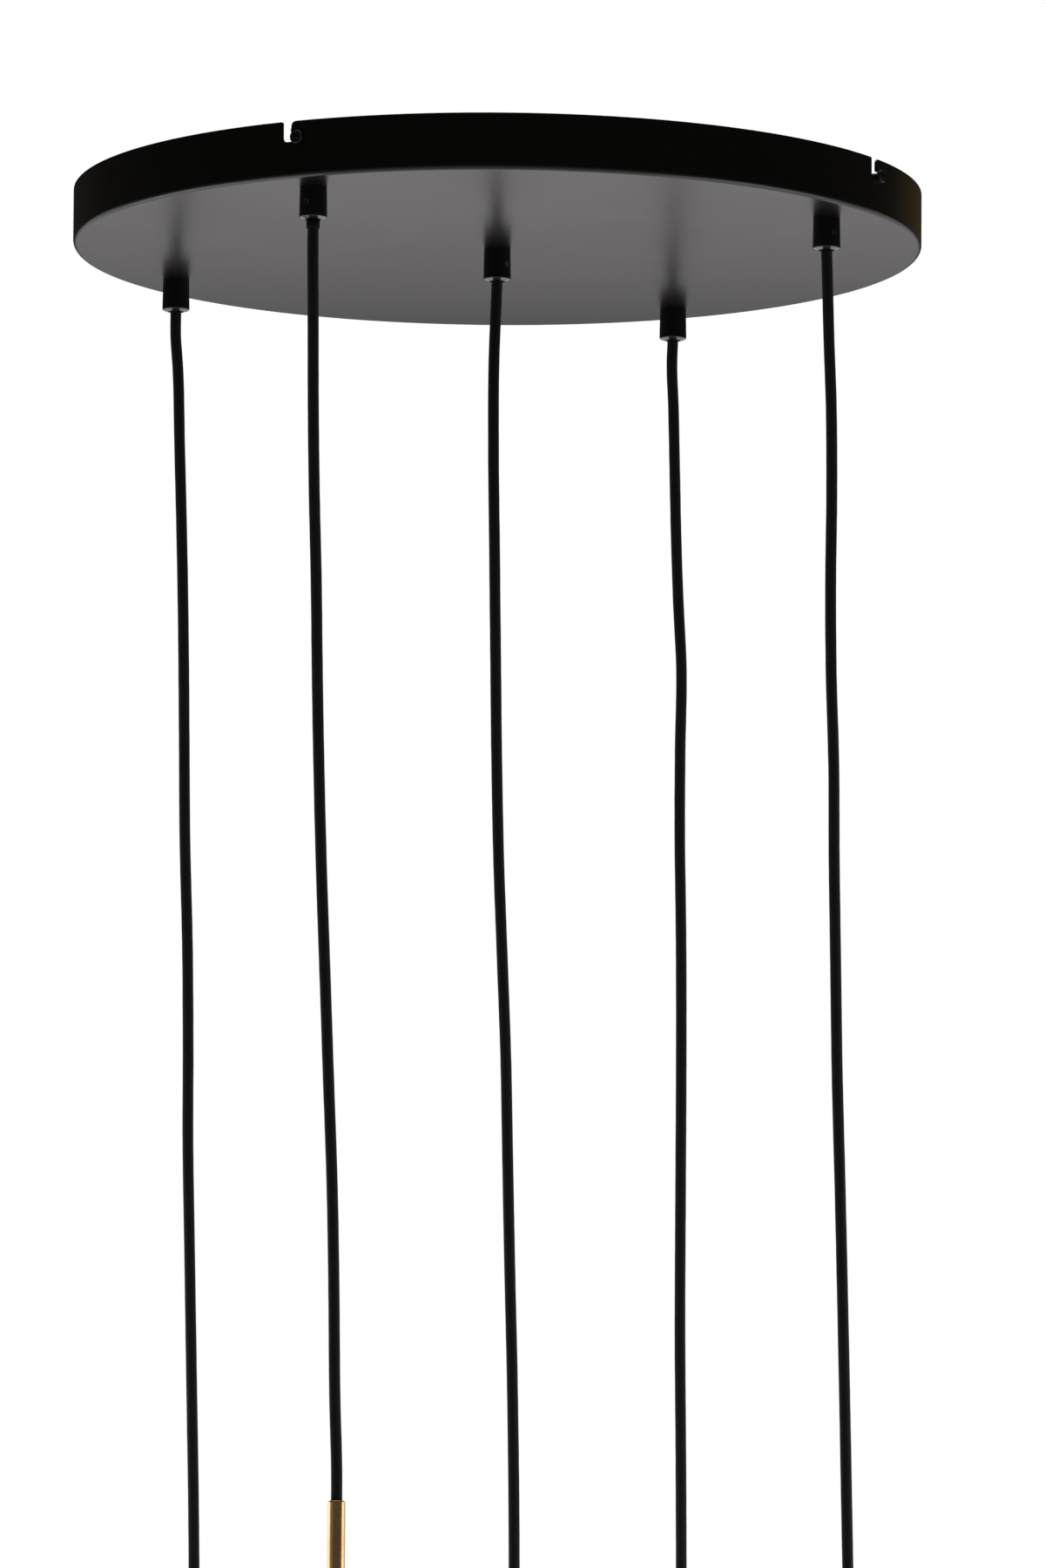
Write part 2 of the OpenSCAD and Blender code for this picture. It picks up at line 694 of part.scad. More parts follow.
module earth_stud() {
  post_r = earth_d / 2;
  nut_h = 0.8 * earth_d;
  half_gap = tag_t / 2 + tag_gap;
  color(zinc)
  at_box() at_earth() {
    cylinder(r = post_r, h = earth_h + 2 * nut_h, $fn = 32);
    cylinder(r = 1.9 * post_r, h = earth_h - half_gap, $fn = 32);
    translate([0, 0, earth_h + half_gap]) difference() {
      cylinder(d = 1.75 * earth_d / cos(30), h = nut_h, $fn = 6);
      translate([0, 0, -over]) cylinder(r = post_r + thread_fit, h = nut_h + 2 * over, $fn = 32);
    }
  }
}

module earth_wire() {
  tag_r = earth_d;
  grasp = 1;
  start = box_r - entry_depth;
  color("yellowgreen")
  at_box() rotate([0, 0, earth_turn]) translate([0, 0, earth_h]) {
    translate([start, 0, 0]) rotate([0, 90, 0])
      cylinder(d = earth_wire_d, h = earth_reach - tag_r - start, $fn = 32);
    translate([earth_reach, 0, -tag_t / 2]) difference() {
      union() {
        cylinder(r = tag_r, h = tag_t, $fn = 48);
        translate([-tag_r - grasp, -earth_wire_d / 2, 0]) cube([3 * grasp, earth_wire_d, tag_t]);
      }
      translate([0, 0, -over])
        cylinder(r = earth_d / 2 + 2 * thread_fit, h = tag_t + 2 * over, $fn = 32);
    }
  }
}

// Free cords, stems and lampholders

module cord(k) {
  inside = [[-cord_in_mouth, 0, 0]];
  route = [for (p = routes[k - 1]) if (p[0] < cord_l[k - 1] - cord_in_stem) p];
  path = concat(inside, route, [[cord_l[k - 1] + cord_in_stem, drift_end(k), 0]]);
  ring = [for (s = [0 : cord_sides - 1]) let (a = 360 * s / cord_sides) cord_r * [cos(a), sin(a)]];
  color(braid_black)
  at_grip(k) rotate([0, 0, drift_turn]) polyhedron(
    points = [for (p = path) for (q = ring) [p[1] + q[0], p[2] + q[1], z_mouth - p[0]]],
    faces = tube_faces(len(path), cord_sides)
  );
}

module at_stem(k) {
  translate([stem_xy(k)[0], stem_xy(k)[1], z_stem(k)]) children();
}

module stem_tube(k) {
  r = stem_d / 2;
  hole = cord_r + stem_hole_fit;
  color(brass)
  at_stem(k) rotate_extrude($fn = 64) polygon(concat(
    [[hole, 0]], arc(r - stem_round, -stem_round, stem_round, 90, 0, 5),
    [[r, -stem_l], [r - stem_wall, -stem_l], [r - stem_wall, -stem_cap_t], [hole, -stem_cap_t]]
  ));
}

module holder_cup(k) {
  r = cup_d / 2;
  shoulder = r - cup_shoulder;
  neck_r = cup_neck_d / 2;
  neck_bevel = 0.5;
  thread_r = stem_d / 2 + thread_fit;
  seat_r = stem_d / 2 - stem_wall;
  color(brass)
  at_stem(k) translate([0, 0, -d_cup]) rotate_extrude($fn = 96) polygon(concat(
    [[thread_r, 0], [thread_r, cup_neck_h], [neck_r - neck_bevel, cup_neck_h]],
    [[neck_r, cup_neck_h - neck_bevel], [neck_r, 0]],
    arc(shoulder, -cup_shoulder, cup_shoulder, 90, 0, 8), [[r, -cup_h], [r - cup_wall, -cup_h]],
    arc(shoulder, -cup_shoulder, cup_shoulder - cup_wall, 0, 90, 8),
    [[seat_r, -cup_wall], [seat_r, 0]]
  ));
}

module lamp_socket(k) {
  body_r = cup_d / 2 - cup_wall - socket_fit;
  flange_r = cup_d / 2;
  top_bevel = 1.5;
  edge_bevel = 0.6;
  roof = socket_h - socket_roof;
  color("dimgray")
  at_stem(k) translate([0, 0, -d_mouth]) rotate_extrude($fn = 96) polygon([
    [0, socket_h], [body_r - top_bevel, socket_h], [body_r, socket_h - top_bevel],
    [body_r, flange_t], [flange_r, flange_t], [flange_r, edge_bevel], [flange_r - edge_bevel, 0],
    [socket_mouth_r, 0], [socket_mouth_r, socket_mouth_h], [socket_bore_r, socket_mouth_h],
    [socket_bore_r, roof], [0, roof]
  ]);
}

module screw_shell(k) {
  contact_t = contact_room - shell_fit;
  contact_r = 4;
  low = socket_mouth_h + 1;
  roof = socket_h - socket_roof;
  color(brass)
  at_stem(k) translate([0, 0, -d_mouth]) {
    translate([0, 0, low]) difference() {
      cylinder(r = shell_r + shell_wall, h = roof - low, $fn = 64);
      translate([0, 0, -over]) cylinder(r = shell_r, h = socket_h, $fn = 64);
    }
    translate([0, 0, roof - contact_t]) cylinder(r = contact_r, h = contact_t, $fn = 32);
  }
}

// Screw-in lamps

module bulb_glass(k) {
  t = glass_t;
  bend_x = lamp_neck_r + neck_fillet;
  reach = globe_r + neck_fillet;
  rise = sqrt(pow(reach, 2) - pow(bend_x, 2));
  meet = atan2(rise, bend_x);
  tube_top = d_globe - d_cap_edge + lamp_neck_in;
  color(opal)
  at_stem(k) translate([0, 0, -d_globe]) rotate_extrude($fn = 96) polygon(concat(
    [[lamp_neck_r - t, tube_top], [lamp_neck_r, tube_top]],
    arc(bend_x, rise, neck_fillet, 180, 180 + meet, 8), arc(0, 0, globe_r, meet, -90, 24),
    arc(0, 0, globe_r - t, -90, meet, 24), arc(bend_x, rise, neck_fillet + t, 180 + meet, 180, 8)
  ));
}

module bulb_cap(k) {
  skirt = 4;
  skirt_r = cap_root_r + thread_depth / 2;
  skirt_edge = 0.5;
  tip_r = 3.5;
  tip_h = 2.5;
  roof_t = 1;
  turns = floor((cap_l - skirt - 2 * tip_h) / thread_pitch);
  step = thread_pitch / 4;
  thread = [for (i = [0 : turns - 1]) for (p = [[0, 0], [1, 1], [2, 1], [3, 0]])
    [cap_root_r + p[1] * thread_depth, skirt + i * thread_pitch + p[0] * step]];
  z_end = skirt + turns * thread_pitch;
  color(nickel)
  at_stem(k) translate([0, 0, -d_cap_edge]) rotate_extrude($fn = 64) polygon(concat(
    [[cap_in_r, 0], [skirt_r, 0], [skirt_r, skirt - skirt_edge]],
    thread,
    [[cap_root_r, z_end], [cap_r * 0.6, cap_l - tip_h], [tip_r + 1, cap_l - tip_h]],
    [[tip_r, cap_l], [0, cap_l], [0, z_end - roof_t], [cap_in_r, z_end - roof_t]]
  ));
}

ceiling_bar();
cross_bar();
bar_rivets();
canopy_screws();
canopy_pan();
grip_nuts();
grip_washers();
grip_screws();
junction_box();
junction_lid();
lid_screws();
terminal_strip();
earth_stud();
earth_wire();
for (k = NUMBERS) {
  cord_grip(k);
  lead(k);
  cord(k);
  stem_tube(k);
  holder_cup(k);
  lamp_socket(k);
  screw_shell(k);
  bulb_glass(k);
  bulb_cap(k);
}
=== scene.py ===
import math

import bmesh
import bpy
import numpy as np
from mathutils import Matrix, Quaternion, Vector, noise


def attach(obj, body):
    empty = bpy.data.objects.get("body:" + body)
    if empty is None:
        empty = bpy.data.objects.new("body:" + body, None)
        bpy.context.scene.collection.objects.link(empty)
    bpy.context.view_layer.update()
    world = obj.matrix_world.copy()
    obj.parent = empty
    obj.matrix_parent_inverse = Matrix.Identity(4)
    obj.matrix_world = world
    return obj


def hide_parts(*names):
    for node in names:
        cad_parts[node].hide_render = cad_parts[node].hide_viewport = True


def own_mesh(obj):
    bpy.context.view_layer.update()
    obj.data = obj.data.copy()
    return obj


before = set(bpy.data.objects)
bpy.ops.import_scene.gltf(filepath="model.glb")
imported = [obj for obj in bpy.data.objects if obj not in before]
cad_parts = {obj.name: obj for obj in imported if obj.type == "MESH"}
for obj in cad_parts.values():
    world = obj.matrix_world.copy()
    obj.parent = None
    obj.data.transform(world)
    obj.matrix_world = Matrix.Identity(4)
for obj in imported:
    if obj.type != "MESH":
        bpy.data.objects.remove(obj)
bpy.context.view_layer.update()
scene = bpy.context.scene


# Camera. It looks up at the canopy from the side of grip 2, 1.6 m below the ceiling and
# 8.2 m away, and its long lens keeps the upright lines upright.
VIEW_TURN = math.radians(27.4)
VIEW_RISE = math.radians(10.861)
VIEW_DISTANCE = 8.3358
VIEW_ROLL = math.radians(0.377)
PICTURE_WIDTH = 1200
PICTURE_HEIGHT = 1800
FOCAL_PIXELS = 16215
CANOPY_X_PIXEL = 571.5
CANOPY_Y_PIXEL = 223.6
SENSOR = 36.0
VIEW_END = 200
CANOPY_TOP = Vector((0, 0, -0.001))

VIEW_AHEAD = Vector((-math.sin(VIEW_TURN), math.cos(VIEW_TURN), 0))
view_line = VIEW_AHEAD * math.cos(VIEW_RISE) + Vector((0, 0, math.sin(VIEW_RISE)))
canopy_ray = Vector((
    CANOPY_X_PIXEL - PICTURE_WIDTH / 2,
    PICTURE_HEIGHT / 2 - CANOPY_Y_PIXEL,
    -FOCAL_PIXELS,
))
lens = bpy.data.cameras.new("camera")
lens.sensor_width = SENSOR
lens.lens = SENSOR * FOCAL_PIXELS / PICTURE_HEIGHT
lens.clip_end = VIEW_END
camera = bpy.data.objects.new("camera", lens)
scene.collection.objects.link(camera)
camera.rotation_mode = "QUATERNION"
camera.location = CANOPY_TOP - view_line * VIEW_DISTANCE
camera.rotation_quaternion = (
    view_line.to_track_quat("-Z", "Y")
    @ Quaternion((0, 0, 1), VIEW_ROLL)
    @ canopy_ray.rotation_difference(Vector((0, 0, -1)))
)
scene.camera = camera


# Cords. Each is a round textile cord with a braided black cover, clamped in its grip above
# and held in the closed top of its stem below. It hangs straight, with the slight waves
# that it keeps from lying coiled in its box.
CORD_RADIUS = 0.00325
GRIP_RING = 0.219
CANOPY_TURN = math.radians(-1.6)
GRIP_TURNS = [180, 270, 0, 90, 0]
GRIP_REACH = [1, 1, 0, 1, 1]
MOUTH_Z = -0.053
CORD_LENGTHS = [0.847, 0.740, 0.899, 0.807, 0.877]
CORD_IN_MOUTH = 0.001
CORD_IN_STEM = 0.004
NUMBERS = range(1, 6)
# Each point of a route is (drop below the mouth, drift to the side, drift in depth).
DRIFT_TURN = math.radians(27.4)
ROUTES = [
    [(0.014, 0, 0), (0.034, 0.0015, -0.0005), (0.08, 0.003, -0.001), (0.14, 0.005, -0.0015),
     (0.2, 0.0065, -0.001), (0.26, 0.0075, 0), (0.32, 0.0085, 0.001), (0.38, 0.0105, 0.0015),
     (0.44, 0.0115, 0.0015), (0.5, 0.012, 0.001), (0.56, 0.0135, 0.0005), (0.64, 0.0155, 0),
     (0.72, 0.0175, -0.0005), (0.8, 0.0185, 0)],
    [(0.014, 0, 0), (0.06, 0.0005, 0.0005), (0.11, 0.001, 0.001), (0.16, 0.002, 0.0015),
     (0.21, 0.0035, 0.001), (0.26, 0.0045, 0.0005), (0.32, 0.006, 0), (0.38, 0.008, -0.001),
     (0.44, 0.0105, -0.0015), (0.5, 0.013, -0.0015), (0.56, 0.0155, -0.001),
     (0.62, 0.017, -0.0005), (0.68, 0.018, 0), (0.73, 0.0195, 0)],
    [(0.014, -0.0005, 0), (0.045, -0.0015, -0.0005), (0.1, -0.0015, -0.001),
     (0.16, -0.0005, -0.001), (0.22, 0.0005, 0), (0.28, 0.0015, 0.001), (0.34, 0.003, 0.0015),
     (0.4, 0.0055, 0.002), (0.46, 0.008, 0.0015), (0.52, 0.0095, 0.001), (0.58, 0.011, 0),
     (0.65, 0.013, -0.0005), (0.73, 0.0145, -0.0005), (0.83, 0.015, 0)],
    [(0.014, -0.0005, 0), (0.04, 0.0005, 0.0005), (0.08, 0.0015, 0.0005), (0.12, 0.0025, 0),
     (0.16, 0.004, -0.0005), (0.2, 0.006, -0.001), (0.25, 0.0055, -0.001),
     (0.3, 0.0055, -0.0005), (0.36, 0.0065, 0), (0.43, 0.007, 0.001), (0.51, 0.007, 0.0015),
     (0.6, 0.007, 0.001), (0.69, 0.008, 0.0005), (0.77, 0.0085, 0)],
    [(0.014, 0.0005, 0), (0.05, 0.0015, 0.0005), (0.09, 0.003, 0.001), (0.14, 0.0035, 0.0015),
     (0.2, 0.003, 0.001), (0.25, 0.0035, 0), (0.3, 0.005, -0.001), (0.36, 0.0055, -0.0015),
     (0.42, 0.0065, -0.0015), (0.48, 0.0075, -0.001), (0.55, 0.0095, 0),
     (0.63, 0.0115, 0.0005), (0.72, 0.0135, 0.0005), (0.8, 0.015, 0)],
]


class Wire:
    """An output socket in a finish. Sums, products and powers of wires add Math nodes."""

    def __init__(self, finish, socket):
        self.finish = finish
        self.socket = socket

    def maths(self, operation, *values):
        return self.finish.node("ShaderNodeMath", {"operation": operation}, values)

    def __add__(self, other):
        return self.maths("ADD", self, other)

    def __sub__(self, other):
        return self.maths("SUBTRACT", self, other)

    def __rsub__(self, other):
        return self.maths("SUBTRACT", other, self)

    def __mul__(self, other):
        return self.maths("MULTIPLY", self, other)

    def __truediv__(self, other):
        return self.maths("DIVIDE", self, other)

    def __mod__(self, other):
        return self.maths("FLOORED_MODULO", self, other)

    def __pow__(self, other):
        return self.maths("POWER", self, other)

    __radd__ = __add__

    def floor(self):
        return self.maths("FLOOR", self)

    def fract(self):
        return self.maths("FRACT", self)

    def sine(self):
        return self.maths("SINE", self)

    def __abs__(self):
        return self.maths("ABSOLUTE", self)

    def step(self, low, high):
        """0 below low, 1 above high, and smooth between them."""
        settings = {"interpolation_type": "SMOOTHSTEP"}
        sockets = {"Value": self, "From Min": low, "From Max": high}
        return self.finish.node("ShaderNodeMapRange", settings, sockets)


class Nodes:
    """The nodes of a finish or of the world. Every one comes from node()."""

    def __init__(self, tree, shader):
        self.tree = tree
        self.shader = tree.nodes[shader]

    def node(self, kind, settings=None, sockets=(), out=0):
        made = self.tree.nodes.new(kind)
        for name, value in (settings or {}).items():
            setattr(made, name, value)
        self.feed(made, sockets)
        return Wire(self, made.outputs[out])

    def feed(self, made, sockets):
        pairs = sockets.items() if isinstance(sockets, dict) else enumerate(sockets)
        for key, value in pairs:
            if isinstance(value, Wire):
                self.tree.links.new(value.socket, made.inputs[key])
            elif made.inputs[key].type == "RGBA":
                made.inputs[key].default_value = (*value, 1)
            else:
                made.inputs[key].default_value = value

    def set(self, socket, value):
        self.feed(self.shader, {socket: value})

    def blend(self, amount, low, high):
        """A colour between two colours."""
        sockets = {0: amount, 6: low, 7: high}
        return self.node("ShaderNodeMix", {"data_type": "RGBA"}, sockets, out=2)

    def place(self):
        """The point on the surface, in metres in the object's own frame."""
        return self.node("ShaderNodeTexCoord", out="Object")

    def stretch(self, place, scale, turn=0.0):
        """The point, turned about Z and multiplied along each axis."""
        settings = {"vector_type": "POINT"}
        sockets = {"Vector": place, "Rotation": (0, 0, turn), "Scale": scale}
        return self.node("ShaderNodeMapping", settings, sockets)

    def part(self, place, axis):
        return self.node("ShaderNodeSeparateXYZ", None, [place], out=axis)

    def ray(self, kind):
        """1 for rays of this kind and 0 for others."""
        return self.node("ShaderNodeLightPath", out=f"Is {kind} Ray")

    def cloud(self, place, size, detail=2.0, roughness=0.5):
        """Soft noise from 0 to 1 with lumps of about this size in metres."""
        sockets = {"Vector": place, "Scale": 1 / size, "Detail": detail, "Roughness": roughness}
        return self.node("ShaderNodeTexNoise", None, sockets, out="Fac")

    def relief(self, height, depth, strength=1.0):
        """Bumps of this depth in metres where height is 1."""
        sockets = {"Height": height, "Distance": depth, "Strength": strength}
        self.set("Normal", self.node("ShaderNodeBump", None, sockets))


class Finish(Nodes):
    """A material with one main shader, whose even values are given by name."""

    def __init__(self, name, **shader):
        self.material = bpy.data.materials.new(name)
        self.material.use_nodes = True
        super().__init__(self.material.node_tree, "Principled BSDF")
        for socket, value in shader.items():
            self.set(socket.replace("_", " ").title().replace("Ior", "IOR"), value)


BRAID_CARRIERS = 16
FIBRES_PER_STRAND = 8
BRAID_DEPTH = 0.00018
braid = Finish(
    "black_braid", sheen_weight=0.1, sheen_roughness=0.4, sheen_tint=(0.62, 0.6, 0.56),
    specular_ior_level=0.15,
)
round_cord = braid.node("ShaderNodeUVMap", {"uv_map": "along"})
turn_share = braid.part(round_cord, "X")
length_share = braid.part(round_cord, "Y")
left_strands = (turn_share + length_share) * BRAID_CARRIERS
right_strands = (turn_share - length_share) * BRAID_CARRIERS
left_on_top = (left_strands.floor() + right_strands.floor()) % 2
left_crown = 1 - (left_strands.fract() * 2 - 1) ** 2
right_crown = 1 - (right_strands.fract() * 2 - 1) ** 2
strand_crown = left_on_top * left_crown + (1 - left_on_top) * right_crown
top_strands = left_on_top * left_strands + (1 - left_on_top) * right_strands
fibre_lines = (top_strands * FIBRES_PER_STRAND * math.pi).sine()
soiled = braid.cloud(braid.place(), 0.03, detail=4)
# Painted shade: the colour is darker in the valleys between strands and lighter on each strand's
# crown, with the crowns' lightness varied at random by the cloud.
braid.set("Base Color", braid.blend(
    strand_crown * (0.55 + soiled * 0.6), (0.001, 0.001, 0.001), (0.0055, 0.0053, 0.0048),
))
braid.set("Roughness", 0.9 - strand_crown * 0.12 - soiled * 0.15)
braid.relief(strand_crown + fibre_lines * 0.07, BRAID_DEPTH, 0.8)

CORD_SIDES = 24
CORD_STEP = 0.002
CORD_UNEVENNESS = 0.00006
LUMP_SIZE = 0.009


def grip_place(k):
    turn = math.radians(GRIP_TURNS[k - 1]) + CANOPY_TURN
    reach = GRIP_REACH[k - 1] * GRIP_RING
    return Vector((reach * math.cos(turn), reach * math.sin(turn), MOUTH_Z))


def smooth_line(points, step):
    """A smooth curve through the points, which lie one below the other, at even drops."""
    points = np.array(points, float)
    drops = points[:, 0]
    slopes = np.gradient(points[:, 1:], drops, axis=0)
    count = math.ceil((drops[-1] - drops[0]) / step)
    at = np.linspace(drops[0], drops[-1], count + 1)
    i = np.clip(np.searchsorted(drops, at, side="right") - 1, 0, len(drops) - 2)
    run = (drops[i + 1] - drops[i])[:, None]
    t = ((at - drops[i])[:, None]) / run
    start, end = points[i, 1:], points[i + 1, 1:]
    drift = (
        start * (2 * t**3 - 3 * t**2 + 1) + slopes[i] * run * (t**3 - 2 * t**2 + t)
        + end * (3 * t**2 - 2 * t**3) + slopes[i + 1] * run * (t**3 - t**2)
    )
    return [(d, side, depth) for d, (side, depth) in zip(at, drift)]


def braided_tube(name, line):
    """A cord on a line, with "along" holding its turn and its length in turns."""
    mesh = bmesh.new()
    uv = mesh.loops.layers.uv.new("along")
    ahead = (line[1] - line[0]).normalized()
    across = ahead.orthogonal().normalized()
    lengths = [0.0]
    rings = []
    for i, centre in enumerate(line):
        following = (line[min(i + 1, len(line) - 1)] - line[max(i - 1, 0)]).normalized()
        across = ahead.rotation_difference(following) @ across
        ahead = following
        beside = ahead.cross(across)
        ring = []
        for s in range(CORD_SIDES):
            turn = 2 * math.pi * s / CORD_SIDES
            out = across * math.cos(turn) + beside * math.sin(turn)
            lump = noise.noise((centre + out * CORD_RADIUS) / LUMP_SIZE)
            ring.append(mesh.verts.new(centre + out * (CORD_RADIUS + CORD_UNEVENNESS * lump)))
        rings.append(ring)
        if i:
            lengths.append(lengths[-1] + (centre - line[i - 1]).length)
    girth = 2 * math.pi * CORD_RADIUS
    for i in range(len(rings) - 1):
        for s in range(CORD_SIDES):
            t = (s + 1) % CORD_SIDES
            face = mesh.faces.new((rings[i][s], rings[i][t], rings[i + 1][t], rings[i + 1][s]))
            face.smooth = True
            places = ((s, i), (s + 1, i), (s + 1, i + 1), (s, i + 1))
            for loop, (turn, ring) in zip(face.loops, places):
                loop[uv].uv = (turn / CORD_SIDES, lengths[ring] / girth)
    mesh.faces.new(list(reversed(rings[0])))
    mesh.faces.new(rings[-1])
    bmesh.ops.recalc_face_normals(mesh, faces=mesh.faces)
    return piece_of(name, mesh)


def piece_of(name, mesh):
    data = bpy.data.meshes.new(name)
    mesh.to_mesh(data)
    mesh.free()
    piece = bpy.data.objects.new(name, data)
    scene.collection.objects.link(piece)
    return piece


def wear(piece, finish, body):
    """Gives a new piece its finish and the body that it rides on."""
    piece.data.materials.append(finish.material)
    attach(piece, body)
    return piece


cord_lines = {}
for k in NUMBERS:
    mouth = grip_place(k)
    length = CORD_LENGTHS[k - 1]
    last_drift = ROUTES[k - 1][-1][1]
    route = [(-CORD_IN_MOUTH, 0, 0), *ROUTES[k - 1], (length + CORD_IN_STEM, last_drift, 0)]
    turned = Matrix.Rotation(DRIFT_TURN, 3, "Z")
    cord_lines[k] = [
        mouth + turned @ Vector((side, depth, -drop))
        for drop, side, depth in smooth_line(route, CORD_STEP)
    ]
    cord = braided_tube(f"braided_cord_{k}", cord_lines[k])
    wear(cord, braid, f"drop_{k}")
    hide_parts(f"cord_{k}")
    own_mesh(cord)


# Cord sleeve. The near left cord has a short shrunk sleeve where it enters its grip, which
# keeps the cut end of its braid together. It hangs a few millimetres out of the mouth.
SLEEVE_RADIUS = 0.0039
SLEEVE_LENGTH = 0.0052
SLEEVE_WALL = 0.0004
SLEEVE_IN_MOUTH = 0.0008
SLEEVE_EDGE = 0.0001
SLEEVE_SIDES = 40
SLEEVE_LUMPS = 1.7
sleeve_rubber = Finish("sleeve_rubber", roughness=0.7, specular_ior_level=0.15)
sleeve_place = sleeve_rubber.place()
sleeve_rubber.set("Base Color", sleeve_rubber.blend(
    sleeve_rubber.cloud(sleeve_place, 0.002), (0.0016, 0.0016, 0.0016), (0.0042, 0.0042, 0.0042),
))
sleeve_rubber.relief(sleeve_rubber.cloud(sleeve_place, 0.0012), 0.0001, 0.6)


def lathe(name, outline, sides, centre, uneven):
    """A closed outline of (radius, height) points turned about an upright line."""
    mesh = bmesh.new()
    rings = []
    for s in range(sides):
        turn = 2 * math.pi * s / sides
        out = Vector((math.cos(turn), math.sin(turn), 0))
        lump = 1 + uneven * noise.noise(out * SLEEVE_LUMPS + Vector((0, 0, sides)))
        rings.append([
            mesh.verts.new(centre + out * (r * lump) + Vector((0, 0, z))) for r, z in outline
        ])
    for s in range(sides):
        here, there = rings[s], rings[(s + 1) % sides]
        for i in range(len(outline)):
            j = (i + 1) % len(outline)
            mesh.faces.new((here[i], there[i], there[j], here[j])).smooth = True
    bmesh.ops.recalc_face_normals(mesh, faces=mesh.faces)
    return piece_of(name, mesh)


sleeve_inner = SLEEVE_RADIUS - 2 * SLEEVE_WALL
sleeve_outline = [
    (SLEEVE_RADIUS, SLEEVE_IN_MOUTH), (SLEEVE_RADIUS, SLEEVE_EDGE - SLEEVE_LENGTH),
    (SLEEVE_RADIUS - SLEEVE_EDGE, -SLEEVE_LENGTH), (sleeve_inner, -SLEEVE_LENGTH),
    (sleeve_inner, SLEEVE_IN_MOUTH),
]
sleeve = lathe("cord_sleeve_2", sleeve_outline, SLEEVE_SIDES, grip_place(2), uneven=0.03)
wear(sleeve, sleeve_rubber, "drop_2")


# Ceiling bracket. Two bars of zinc-plated strip steel cross on the ceiling, riveted at the
# crossing, with their ends bent down into ears that the canopy's screws are tapped in.
zinc = Finish("zinc_plate", metallic=1.0)
zinc_place = zinc.place()
crystals = zinc.cloud(zinc_place, 0.004, detail=3)
haze = zinc.cloud(zinc_place, 0.05)
zinc.set("Base Color", zinc.blend(crystals, (0.5, 0.51, 0.53), (0.68, 0.69, 0.7)))
zinc.set("Roughness", 0.34 + haze * 0.14 + crystals * 0.06)
zinc.relief(zinc.cloud(zinc.stretch(zinc_place, (1, 1, 0.2)), 0.0006), 0.00002, 0.5)
WELD_GAP = 1e-6
SHARP_TURN = math.radians(30)


def each(stem):
    """The names of the five pieces that share this stem."""
    return [f"{stem}_{k}" for k in NUMBERS]


def dress(finish, *names):
    """Gives frame nodes their finish."""
    for name in names:
        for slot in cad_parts[name].material_slots:
            slot.material = finish.material


def smooth_over(*names):
    """Shades the small steps of a frame node's bends and turned arcs as one curve."""
    for name in names:
        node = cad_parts[name]
        node.data.attributes.remove(node.data.attributes["custom_normal"])
        node.data.shade_smooth()
        node.modifiers.new("weld", "WELD").merge_threshold = WELD_GAP
        node.modifiers.new("sharp_edges", "EDGE_SPLIT").split_angle = SHARP_TURN
        node.modifiers.new("flat_faces", "WEIGHTED_NORMAL")


dress(zinc, "ceiling_bar", "cross_bar", "bar_rivets", "grip_nuts", "grip_washers", "lid_screws")
smooth_over("ceiling_bar", "cross_bar")


# Canopy. One pressed steel pan with a rounded corner, four bayonet slots cut from the rim's
# edge, and a black satin powder coat that mirrors the white room at a flat angle, with a
# faint warm sheen.
coat_black = Finish(
    "canopy_paint", specular_ior_level=0.31, sheen_weight=0.006, sheen_roughness=0.35,
    sheen_tint=(1, 0.55, 0.25),
)
coat_place = coat_black.place()
coat_drift = coat_black.cloud(coat_place, 0.08, detail=3)
coat_grain = coat_black.cloud(coat_place, 0.0011, detail=2)
coat_black.set("Base Color", coat_black.blend(
    coat_drift, (0.0015, 0.0013, 0.0008), (0.0024, 0.0021, 0.0014),
))
coat_black.set("Roughness", 0.25 + coat_drift * 0.05 + coat_grain * 0.03)
coat_black.relief(coat_grain, 0.000012, 0.5)
dress(coat_black, "canopy_pan")
smooth_over("canopy_pan")


# Locking screws. Four black pan-head screws with a cross recess sit in the ears of the bars
# and carry the canopy by its slots.
screw_black = Finish("black_screw", metallic=0.6)
screw_wear = screw_black.cloud(screw_black.place(), 0.0015, detail=4)
screw_black.set("Base Color", screw_black.blend(
    screw_wear.step(0.45, 0.75), (0.004, 0.004, 0.004), (0.04, 0.039, 0.037),
))
screw_black.set("Roughness", 0.28 + screw_wear * 0.2)
dress(screw_black, "canopy_screws")
smooth_over("canopy_screws")


# Cord grips. Turned metal cylinders with a threaded neck and a slightly domed lower face,
# lacquered black. The sides and the mouth are satin, and the lower face, which looks down,
# is buffed and mirrors the room.
GRIP_EDGE_Z = -0.052
BUFFED_DEPTH = 0.0003
LOOKS_DOWN = -0.8
LOOKS_ASIDE = -0.6
TURNING_LINES = 9000
grip_black = Finish(
    "grip_lacquer", coat_roughness=0.06, coat_ior=1.7, specular_ior_level=0.12,
)
grip_point = grip_black.place()
grip_height = grip_black.part(grip_point, "Z")
grip_facing = grip_black.part(grip_black.node("ShaderNodeNewGeometry", out="Normal"), "Z")
is_low = 1 - grip_height.step(GRIP_EDGE_Z, GRIP_EDGE_Z + BUFFED_DEPTH)
is_lower_face = is_low * (1 - grip_facing.step(LOOKS_DOWN, LOOKS_ASIDE))
grip_black.set("Coat Weight", is_lower_face)
turning = (grip_height * TURNING_LINES).sine()
grip_mottle = grip_black.cloud(grip_point, 0.004, detail=3)
grip_black.set("Base Color", grip_black.blend(
    grip_mottle, (0.002, 0.002, 0.002), (0.0045, 0.0045, 0.0045),
))
grip_black.set("Roughness", 0.42 + grip_mottle * 0.14)
grip_black.relief(turning, 0.000004, 0.3)
dress(grip_black, *each("cord_grip"))


